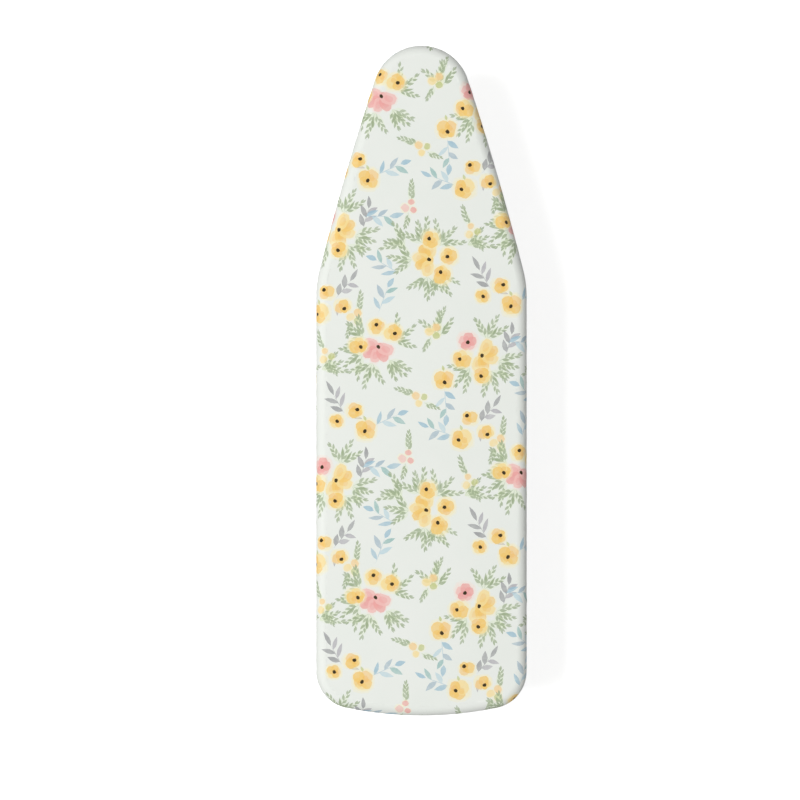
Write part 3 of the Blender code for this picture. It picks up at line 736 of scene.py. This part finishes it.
# %% Triangulate the flat cloth
def triangulate(outlines, extra):
    """Flat points, triangles inside the first outline, and the outlines that cover each one."""
    corners, loops = [], []
    for outline in outlines:
        loops.append(list(range(len(corners), len(corners) + len(outline))))
        corners += [Vector(point) for point in outline]
    corners += [Vector(point) for point in extra]
    points, _, found, _, _, covering = delaunay_2d_cdt(corners, [], loops, 1, 1e-4, True)
    kept = [i for i, under in enumerate(covering) if 0 in under]
    used, found = np.unique(np.array([found[i] for i in kept]), return_inverse=True)
    return np.array([points[i][:] for i in used]), found.reshape(-1, 3), [covering[i] for i in kept]


def border_edges(found):
    """Directed edges that only one triangle has."""
    directed = {(a, b) for tri in found.tolist() for a, b in zip(tri, tri[1:] + tri[:1])}
    return {a: b for a, b in directed if (b, a) not in directed}


flat, triangles, covering = triangulate([outline for _, _, outline in shapes], loose)
next_on_border = border_edges(triangles)
border = [next(iter(next_on_border))]
while next_on_border[border[-1]] != border[0]:
    border.append(next_on_border[border[-1]])
flat_inner, inner_triangles, _ = triangulate([flat[border].tolist()], loose)
print("outer:", len(triangles), "triangles, inner:", len(inner_triangles), "hem edge:", len(border))


# %% Ink for each triangle
def layered_ink(under):
    """Ink colour and strength after printing each covering shape in order."""
    colour, strength = (0.0, 0.0, 0.0), 0.0
    for shape in sorted(under):
        ink, share, _ = shapes[shape]
        if ink is not None:
            strength_now = share + strength * (1 - share)
            colour = tuple((a * share + b * strength * (1 - share)) / strength_now
                           for a, b in zip(ink, colour))
            strength = strength_now
    return (*colour, strength)


ink_of_triangle = np.array([layered_ink(under) for under in covering])
print("printed share of the cloth:", round(float((ink_of_triangle[:, 3] > 0).mean()), 2))

# %% Lay the cloth on the board
CLOTH_THICKNESS = 0.6
NUDGE = 0.05


def laid(flat_points):
    """Points on the board and outward normals for flat points."""
    x, y = flat_points[:, 0], flat_points[:, 1]
    slope_x = lay_on_board(x + NUDGE, y) - lay_on_board(x - NUDGE, y)
    slope_y = lay_on_board(x, y + NUDGE) - lay_on_board(x, y - NUDGE)
    facing = np.cross(slope_x, slope_y)
    return lay_on_board(x, y), facing / np.linalg.norm(facing, axis=1)[:, None]


outer_points, outer_normals = laid(flat)
inner_points, inner_normals = laid(flat_inner)
inner_points -= inner_normals * CLOTH_THICKNESS
count = len(flat)
inner_at = {tuple(np.round(point, 3)): i + count for i, point in enumerate(flat_inner)}
inner_border = [inner_at[tuple(np.round(flat[i], 3))] for i in border]
rim_faces = [(b, a, c, d) for a, b, c, d in zip(border, border[1:] + border[:1], inner_border,
                                                inner_border[1:] + inner_border[:1])]
faces = triangles.tolist() + (inner_triangles[:, ::-1] + count).tolist() + rim_faces
cover_mesh = bpy.data.meshes.new("printed_cover")
cover_mesh.from_pydata((np.concatenate([outer_points, inner_points]) * MM).tolist(), [], faces)
cover_mesh.polygons.foreach_set("use_smooth", [True] * len(faces))
print("cover faces:", len(faces))

# %% Print, cloth and unwrapped coordinates
corner_points = np.empty(len(cover_mesh.loops), dtype=np.int64)
cover_mesh.loops.foreach_get("vertex_index", corner_points)
spread = np.array([polygon.loop_total for polygon in cover_mesh.polygons])
inks = np.zeros((len(corner_points), 4))
inks[:3 * len(triangles)] = np.repeat(ink_of_triangle, 3, axis=0)
ink_layer = cover_mesh.attributes.new("ink", "FLOAT_COLOR", "CORNER")
ink_layer.data.foreach_set("color", inks.ravel())
on_cloth = np.concatenate([flat, flat_inner])[corner_points]
cloth_map = cover_mesh.uv_layers.new(name="cloth")
cloth_map.data.foreach_set("uv", (on_cloth * MM).ravel())
first_corner = np.cumsum(spread) - spread
middle_y = np.add.reduceat(on_cloth[:, 1], first_corner) / spread
nose_half = np.repeat(middle_y > 0, spread)
inner = np.arange(len(corner_points)) >= 3 * len(triangles)
ISLAND_STEP = 2.05 * cut_half_width     # from the tail half's island to the nose half's
SHEET_SIDE = 2 * ISLAND_STEP
SHEET_SCALE, SHEET_MARGIN = 0.985, 0.005
unwrapped = np.stack([on_cloth[:, 0] + cut_half_width, on_cloth[:, 1] - cut_low], 1)
unwrapped[nose_half] += (ISLAND_STEP, cut_low)
unwrapped[inner] = unwrapped[inner] * 0.5 + (0, 1.02 * cut_high)
bake_map = cover_mesh.uv_layers.new(name="OFBake")
bake_map.data.foreach_set("uv", (unwrapped / SHEET_SIDE * SHEET_SCALE + SHEET_MARGIN).ravel())
cover_mesh.normals_split_custom_set_from_vertices(np.concatenate([outer_normals, -inner_normals]).tolist())
cover_mesh.update()
cover = bpy.data.objects.new("printed_cover", cover_mesh)
bpy.context.scene.collection.objects.link(cover)
print("unwrapped size", unwrapped.max(0).round(), "of", round(SHEET_SIDE))

# %% [markdown]
# ## Printed cotton
# Plain-woven cotton is matt, with threads about half a millimetre apart that only show close by,
# and a faint sheen at grazing angles. The ink has soaked in unevenly, so its strength drifts within
# each petal, and the white ground is very slightly mottled. The weave follows the cloth, so it reads
# the cloth's own flat coordinates and turns over the edge with the threads.

# %% Cotton
THREAD_PITCH = 0.00050
cotton = Finish("printed_cotton", Roughness=0.86, Sheen_Weight=0.18, Sheen_Roughness=0.45,
                Specular_IOR_Level=0.3)
cloth_place = cotton.node("ShaderNodeUVMap", {"uv_map": "cloth"}, {})
thread_x = cotton.node("ShaderNodeSeparateXYZ", {}, {0: cloth_place})
thread_y = Amount(cotton, thread_x.output.node.outputs[1])
warp = (thread_x * (2 * pi / THREAD_PITCH)).wave()
weft = (thread_y * (2 * pi / THREAD_PITCH)).wave()
weave = warp * weft
slub = cotton.noise(cloth_place, 260.0, 3.0)
soak = cotton.noise(cloth_place, 260.0, 3.0, 0.6).between(0.30, 0.72)
pool = cotton.noise(cloth_place, 90.0, 1.0).between(0.25, 0.75)
mottle = cotton.noise(cloth_place, 22.0, 2.0)
ground = cotton.mix(screen_colour(235, 240, 233), screen_colour(241, 243, 238), mottle)
ink_node = cotton.node("ShaderNodeAttribute", {"attribute_name": "ink"}, {}, "Color")
ink_strength = Amount(cotton, ink_node.output.node.outputs["Alpha"])
wet = 0.66 + 0.22 * soak + 0.16 * pool
strength = ink_strength * (wet + (1 - wet) * ink_strength ** 8)
printed = cotton.mix(ground, ink_node, strength)
# Painted shade: the print is darkened a little in the dips between the threads, where the weave sits low.
print_with_dip_shade = cotton.mix(printed, (0.80, 0.80, 0.80, 1), 0.10 * (0.5 - 0.5 * weave), "MULTIPLY")
cotton.set("Base Color", print_with_dip_shade)
cotton.set("Roughness", 0.82 + 0.08 * slub)
cotton.bump(weave * 0.5 + slub * 0.6, 0.00006, 0.6)
cover_mesh.materials.append(cotton.material)
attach(cover, "board")
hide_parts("cover")
cut_area = 0.5 * abs(sum(x0 * y1 - x1 * y0 for (x0, y0), (x1, y1)
                         in zip(cut_line, cut_line[1:] + cut_line[:1]))) * MM * MM
2 * cut_half_width * MM
(cut_high - cut_low) * MM
print("cover cut:", round(2 * cut_half_width), "by", round(cut_high - cut_low), "mm")

# %% [markdown]
# ## Foam pad
# Under the cotton lies a slab of foam about eight millimetres thick, die-cut to the board, its edge
# rounded by the cover that is pulled over it. Foam is springy but holds its cut shape, so it is
# lofted from rings of the same outline; a cloth simulation would only puff it up like a cushion.

# %% Loft a slab from rings
def loft(name, rings):
    """A closed solid through rings given as (inset, height) in millimetres, first to last."""
    slab = bmesh.new()
    made = [[slab.verts.new((x * MM, y * MM, z * MM)) for x, y in outline_ring(inset, 420)]
            for inset, z in rings]
    for low, high in zip(made, made[1:]):
        for i in range(len(low)):
            j = (i + 1) % len(low)
            slab.faces.new((low[i], low[j], high[j], high[i]))
    slab.faces.new(made[0][::-1])
    slab.faces.new(made[-1])
    bmesh.ops.triangulate(slab, faces=[f for f in slab.faces if len(f.verts) > 4])
    bmesh.ops.recalc_face_normals(slab, faces=slab.faces)
    for face in slab.faces:
        face.smooth = len(face.verts) == 4
    mesh = bpy.data.meshes.new(name)
    slab.to_mesh(mesh)
    slab.free()
    piece = bpy.data.objects.new(name, mesh)
    bpy.context.scene.collection.objects.link(piece)
    return piece


pad_low, pad_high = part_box("foam_pad")
PAD_SIDE = (cover_high.x - pad_high.x) / MM + 0.3
PAD_BOTTOM, PAD_TOP = pad_low.z / MM, pad_high.z / MM - 0.5
PAD_ROUND = 7.0
pad_rings = [(PAD_SIDE + 1.5, PAD_BOTTOM), (PAD_SIDE + 0.4, PAD_BOTTOM + 0.5), (PAD_SIDE, PAD_BOTTOM + 1.6)]
for i in range(7):
    turn = pi / 2 * i / 6
    pad_rings.append((PAD_SIDE + PAD_ROUND * (1 - cos(turn)), PAD_TOP - PAD_ROUND * (1 - sin(turn))))
pad_rings += [(PAD_SIDE + PAD_ROUND + extra, PAD_TOP) for extra in (6.0, 16.0)]
pad = loft("foam_slab", pad_rings)
print("pad", [round(v, 3) for v in pad.dimensions])

# %% Foam
foam = Finish("open_foam", Roughness=0.95, Specular_IOR_Level=0.2)
foam_place = foam.object_place()
cells = foam.node("ShaderNodeTexVoronoi", {}, {"Vector": foam_place, "Scale": 1100.0})
patches = foam.noise(foam_place, 24.0)
foam_tone = foam.mix(screen_colour(243, 239, 222), screen_colour(232, 226, 204), patches)
foam.set("Base Color", foam.mix(foam_tone, screen_colour(206, 198, 172), 0.55 * cells))
foam.bump(cells, 0.0003)
pad.data.materials.append(foam.material)
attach(pad, "board")
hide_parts("foam_pad")
print("foam ready")

# %% [markdown]
# ## Hem elastic
# A narrow knitted elastic is sewn along the raw edge of the hem while stretched, and draws the
# hem in when it is let go, so the band itself lies in small even ruffles. It is a strip that runs
# round the outline; its waves are worked out along the run, and its ribs go in the finish.

# %% Band round the hem
elastic_low, elastic_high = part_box("hem_elastic")
ELASTIC_OUTER = HEM_DEPTH + 0.3
ELASTIC_WIDTH = 5.0
BAND_STEPS, RUFFLES = 1400, 260
band_top, band_bottom = elastic_high.z / MM, elastic_low.z / MM
band_mesh = bmesh.new()
band_uv = band_mesh.loops.layers.uv.new("band")
profile = [(0.0, 0.0), (0.35, 0.42), (2.5, 0.55), (4.65, 0.42), (ELASTIC_WIDTH, 0.0), (4.65, -0.42),
           (2.5, -0.55), (0.35, -0.42)]
band_rows = []
for i in range(BAND_STEPS):
    run = 2 * HALF_ROUND * i / BAND_STEPS
    wave = 0.22 * sin(2 * pi * RUFFLES * i / BAND_STEPS)
    row = []
    for inwards, up in profile:
        x, y = outline_point(run, ELASTIC_OUTER + inwards)
        z = (band_top + band_bottom) / 2 + up + wave * (0.4 + 0.6 * inwards / ELASTIC_WIDTH)
        row.append(band_mesh.verts.new((x * MM, y * MM, z * MM)))
    band_rows.append(row)
for i in range(BAND_STEPS):
    here, there = band_rows[i], band_rows[(i + 1) % BAND_STEPS]
    for k in range(len(profile)):
        m = (k + 1) % len(profile)
        face = band_mesh.faces.new((here[k], here[m], there[m], there[k]))
        face.smooth = True
        for corner, (at, side) in zip(face.loops, ((i, k), (i, k + 1), (i + 1, k + 1), (i + 1, k))):
            corner[band_uv].uv = (at / BAND_STEPS, side / len(profile))
bmesh.ops.recalc_face_normals(band_mesh, faces=band_mesh.faces)
band_data = bpy.data.meshes.new("hem_elastic_band")
band_mesh.to_mesh(band_data)
band_mesh.free()
band = bpy.data.objects.new("hem_elastic_band", band_data)
bpy.context.scene.collection.objects.link(band)
print("elastic faces:", len(band_data.polygons))

# %% Elastic
knit = Finish("knitted_elastic", Roughness=0.8, Sheen_Weight=0.2)
band_place = knit.node("ShaderNodeUVMap", {"uv_map": "band"}, {})
band_split = knit.node("ShaderNodeSeparateXYZ", {}, {0: band_place})
band_across = Amount(knit, band_split.output.node.outputs[1])
ribs = (band_across * (2 * pi * 14)).wave()
courses = (band_split * (2 * pi * 2200)).wave()
knit_height = 0.5 + 0.25 * ribs + 0.25 * ribs * courses
# Painted shade and highlight: the hollows between ribs and courses are darker and the ridges lighter,
# following the knit's height.
knit.set("Base Color", knit.mix(screen_colour(206, 206, 200), screen_colour(242, 242, 238), knit_height))
knit.bump(knit_height, 0.0002)
band_data.materials.append(knit.material)
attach(band, "board")
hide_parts("hem_elastic")
print("elastic ready")

# %% [markdown]
# ## Hem stitches
# A zigzag stitch holds the elastic to the hem all round. One stitch is a short length of thread,
# modelled once from a cylinder with its ends drawn in, then copied along the run, leaning left
# and right by turns. Hundreds of stitches are needed, so each has only a few dozen faces.

# %% One stitch
THREAD_RADIUS = 0.00022
bpy.ops.object.select_all(action="DESELECT")
bpy.ops.mesh.primitive_cylinder_add(vertices=6, radius=THREAD_RADIUS, depth=0.0030)
one_stitch = bpy.context.object
bpy.ops.object.mode_set(mode="EDIT")
bpy.ops.mesh.select_all(action="DESELECT")
stitch_edit = bmesh.from_edit_mesh(one_stitch.data)
for face in stitch_edit.faces:
    face.select = abs(face.normal.z) > 0.9
bmesh.update_edit_mesh(one_stitch.data)
bpy.ops.mesh.extrude_region_move(TRANSFORM_OT_translate={"value": (0, 0, 0)})
bpy.ops.transform.resize(value=(0.5, 0.5, 1.15))
bpy.ops.object.mode_set(mode="OBJECT")
stitch_shape = [v.co.copy() for v in one_stitch.data.vertices]
stitch_faces = [tuple(p.vertices) for p in one_stitch.data.polygons]
bpy.data.objects.remove(one_stitch)
print("faces in a stitch:", len(stitch_faces))

# %% Zigzag round the hem
STITCHES = 640
ZIGZAG_WIDTH = 2.0
thread_points, thread_faces = [], []
for i in range(STITCHES):
    ends = []
    for k in (i, i + 1):
        inset = HEM_DEPTH - 0.5 + ZIGZAG_WIDTH * (k % 2) - 0.8
        ends.append(outline_point(2 * HALF_ROUND * k / STITCHES, inset))
    start, stop = (Vector((x * MM, y * MM, (HEM - 0.55) * MM)) for x, y in ends)
    lean = (stop - start).to_track_quat("Z", "Y")
    base = len(thread_points)
    stretch = (stop - start).length / 0.0032
    thread_points += [lean @ Vector((c.x, c.y, c.z * stretch)) + (start + stop) / 2 for c in stitch_shape]
    thread_faces += [tuple(base + v for v in f) for f in stitch_faces]
stitch_mesh = bpy.data.meshes.new("hem_stitches")
stitch_mesh.from_pydata(thread_points, [], thread_faces)
stitch_mesh.polygons.foreach_set("use_smooth", [True] * len(thread_faces))
stitches = bpy.data.objects.new("hem_stitches", stitch_mesh)
bpy.context.scene.collection.objects.link(stitches)
thread = Finish("cotton_thread", Roughness=0.7, Sheen_Weight=0.3)
ply = thread.noise(thread.object_place(), 2500.0, 1.0)
thread.set("Base Color", thread.mix(screen_colour(226, 226, 220), screen_colour(247, 247, 243), ply))
thread.bump(ply, 0.0001)
stitch_mesh.materials.append(thread.material)
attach(stitches, "board")
print("stitches:", STITCHES)

# %% [markdown]
# ## Grip ribs on the feet
# The rubber feet have low ribs round them, which give when the board is pressed and stop it
# sliding. Each rib is a ring made from a cylinder: its round wall is pushed out by an extrusion and
# made narrower there, and the side that stands on the table is pressed flat.

# %% Ribs
RIB_SHARES = (0.16, 0.36, 0.56, 0.76)
RIB_WIDTH = 0.0016
RIB_RISE = 0.0005
RIB_SUNK = 0.0004               # how deep a rib starts inside the foot
SOLE_GAP = 0.0002               # a rib's flat stays this far above the sole


def foot_rib(place, across, radius, sole):
    """One raised ring round a foot; its lower side stays just above the sole."""
    bpy.ops.object.select_all(action="DESELECT")
    bpy.ops.mesh.primitive_cylinder_add(vertices=40, radius=radius - RIB_SUNK, depth=RIB_WIDTH,
                                        location=(across, place[0], place[1]), rotation=(0, pi / 2, 0))
    ring = bpy.context.object
    bpy.ops.object.transform_apply(location=True, rotation=True, scale=True)
    bpy.ops.object.mode_set(mode="EDIT")
    bpy.ops.mesh.select_all(action="DESELECT")
    edit = bmesh.from_edit_mesh(ring.data)
    for face in edit.faces:
        face.select = abs(face.normal.x) < 0.5
    bmesh.update_edit_mesh(ring.data)
    bpy.ops.mesh.extrude_region_shrink_fatten(TRANSFORM_OT_shrink_fatten={"value": RIB_SUNK + RIB_RISE})
    bpy.ops.transform.resize(value=(0.55, 1, 1), center_override=(across, place[0], place[1]))
    bpy.ops.object.mode_set(mode="OBJECT")
    for vertex in ring.data.vertices:
        vertex.co.z = max(vertex.co.z, sole + SOLE_GAP)
    return ring


feet = [name for name in sorted(frame["nodes"]) if name.endswith("_foot")]
rubber_pieces = []
for name in feet:
    low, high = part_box(name)
    foot_radius = (high.y - low.y) / 2
    centre = ((low.y + high.y) / 2, high.z - foot_radius)
    rings = [foot_rib(centre, low.x + (high.x - low.x) * share, foot_radius, low.z)
             for share in RIB_SHARES]
    bpy.ops.object.select_all(action="DESELECT")
    for ring in rings:
        ring.select_set(True)
    bpy.context.view_layer.objects.active = rings[0]
    bpy.ops.object.join()
    ribs_piece = bpy.context.object
    ribs_piece.name = name + "_ribs"
    bpy.ops.object.shade_smooth_by_angle(angle=radians(40))
    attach(ribs_piece, frame["nodes"][name]["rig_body"])
    rubber_pieces.append(ribs_piece)
print("feet with ribs:", feet)

# %% [markdown]
# ## Finishes of the metal, rubber and nylon
# Each hard part keeps its true shape from the frame and gets the finish its maker would give it:
# enamel on the pressed steel, white powder coat on the bent tube, bright zinc on axles and rivets,
# moulded rubber on the feet and natural nylon on the caps and clips.

# %% Enamel
enamel = Finish("satin_enamel", Roughness=0.38, Coat_Weight=0.25, Coat_Roughness=0.2)
enamel_place = enamel.object_place()
orange_peel = enamel.noise(enamel_place, 420.0, 2.0)
handling = enamel.noise(enamel_place, 34.0, 4.0, 0.65).between(0.42, 0.72)
enamel.set("Base Color", enamel.mix(screen_colour(216, 218, 216), screen_colour(204, 206, 205), handling))
enamel.set("Roughness", 0.30 + 0.20 * handling + 0.06 * orange_peel)
enamel.bump(orange_peel, 0.00012, 0.6)

# %% Powder coat
powder = Finish("white_powder_coat", Roughness=0.42, Coat_Weight=0.15, Coat_Roughness=0.3)
powder_place = powder.object_place()
grain = powder.noise(powder_place, 900.0, 2.0)
rubbed = powder.noise(powder_place, 45.0, 5.0, 0.7).between(0.55, 0.80)
powder.set("Base Color", powder.mix(screen_colour(240, 241, 241), screen_colour(226, 227, 226), rubbed))
powder.set("Roughness", 0.38 + 0.10 * grain + 0.14 * rubbed)
powder.bump(grain, 0.00010, 0.5)

# %% Zinc
zinc = Finish("bright_zinc", Metallic=1.0, Roughness=0.3)
zinc_place = zinc.object_place()
spangle = zinc.node("ShaderNodeTexVoronoi", {"feature": "F1"}, {"Vector": zinc_place, "Scale": 700.0})
tarnish = zinc.noise(zinc_place, 120.0, 3.0, 0.6)
zinc_tone = zinc.mix(screen_colour(206, 209, 212), screen_colour(186, 190, 196), spangle)
zinc.set("Base Color", zinc.mix(zinc_tone, screen_colour(200, 194, 176), 0.35 * tarnish))
zinc.set("Roughness", 0.24 + 0.14 * tarnish + 0.05 * spangle)
zinc.bump(tarnish, 0.00005, 0.4)

# %% Rubber and nylon
rubber = Finish("moulded_rubber", Roughness=0.7, Specular_IOR_Level=0.4)
rubber_place = rubber.object_place()
matt = rubber.noise(rubber_place, 1300.0, 2.0)
dust = rubber.noise(rubber_place, 90.0, 4.0, 0.6).between(0.50, 0.78)
rubber.set("Base Color", rubber.mix(screen_colour(58, 59, 61), screen_colour(96, 95, 92), 0.5 * dust))
rubber.set("Roughness", 0.62 + 0.12 * matt + 0.12 * dust)
rubber.bump(matt, 0.00010, 0.7)
nylon = Finish("natural_nylon", Roughness=0.4, Subsurface_Weight=0.12, Subsurface_Scale=0.004)
nylon_place = nylon.object_place()
flow = nylon.noise(nylon_place, 160.0, 3.0, 0.55)
nylon.set("Base Color", nylon.mix(screen_colour(233, 235, 232), screen_colour(221, 223, 217), flow))
nylon.set("Roughness", 0.34 + 0.16 * flow)
nylon.bump(nylon.noise(nylon_place, 1500.0, 1.0), 0.00004, 0.5)
print("finishes ready")

# %% Hand the finishes out
finish_of_slot = {"enamelled_steel": enamel, "white_tube": powder, "zinc_steel": zinc, "rubber": rubber,
                  "nylon": nylon, "foam": foam, "elastic": knit, "printed_cotton": cotton}
for name, node in frame["nodes"].items():
    for material_slot in node.material_slots:
        material_slot.material = finish_of_slot[material_slot.material.name.split(".")[0]].material
for piece in rubber_pieces:
    piece.data.materials.clear()
    piece.data.materials.append(rubber.material)
print("nodes finished:", len(frame["nodes"]))
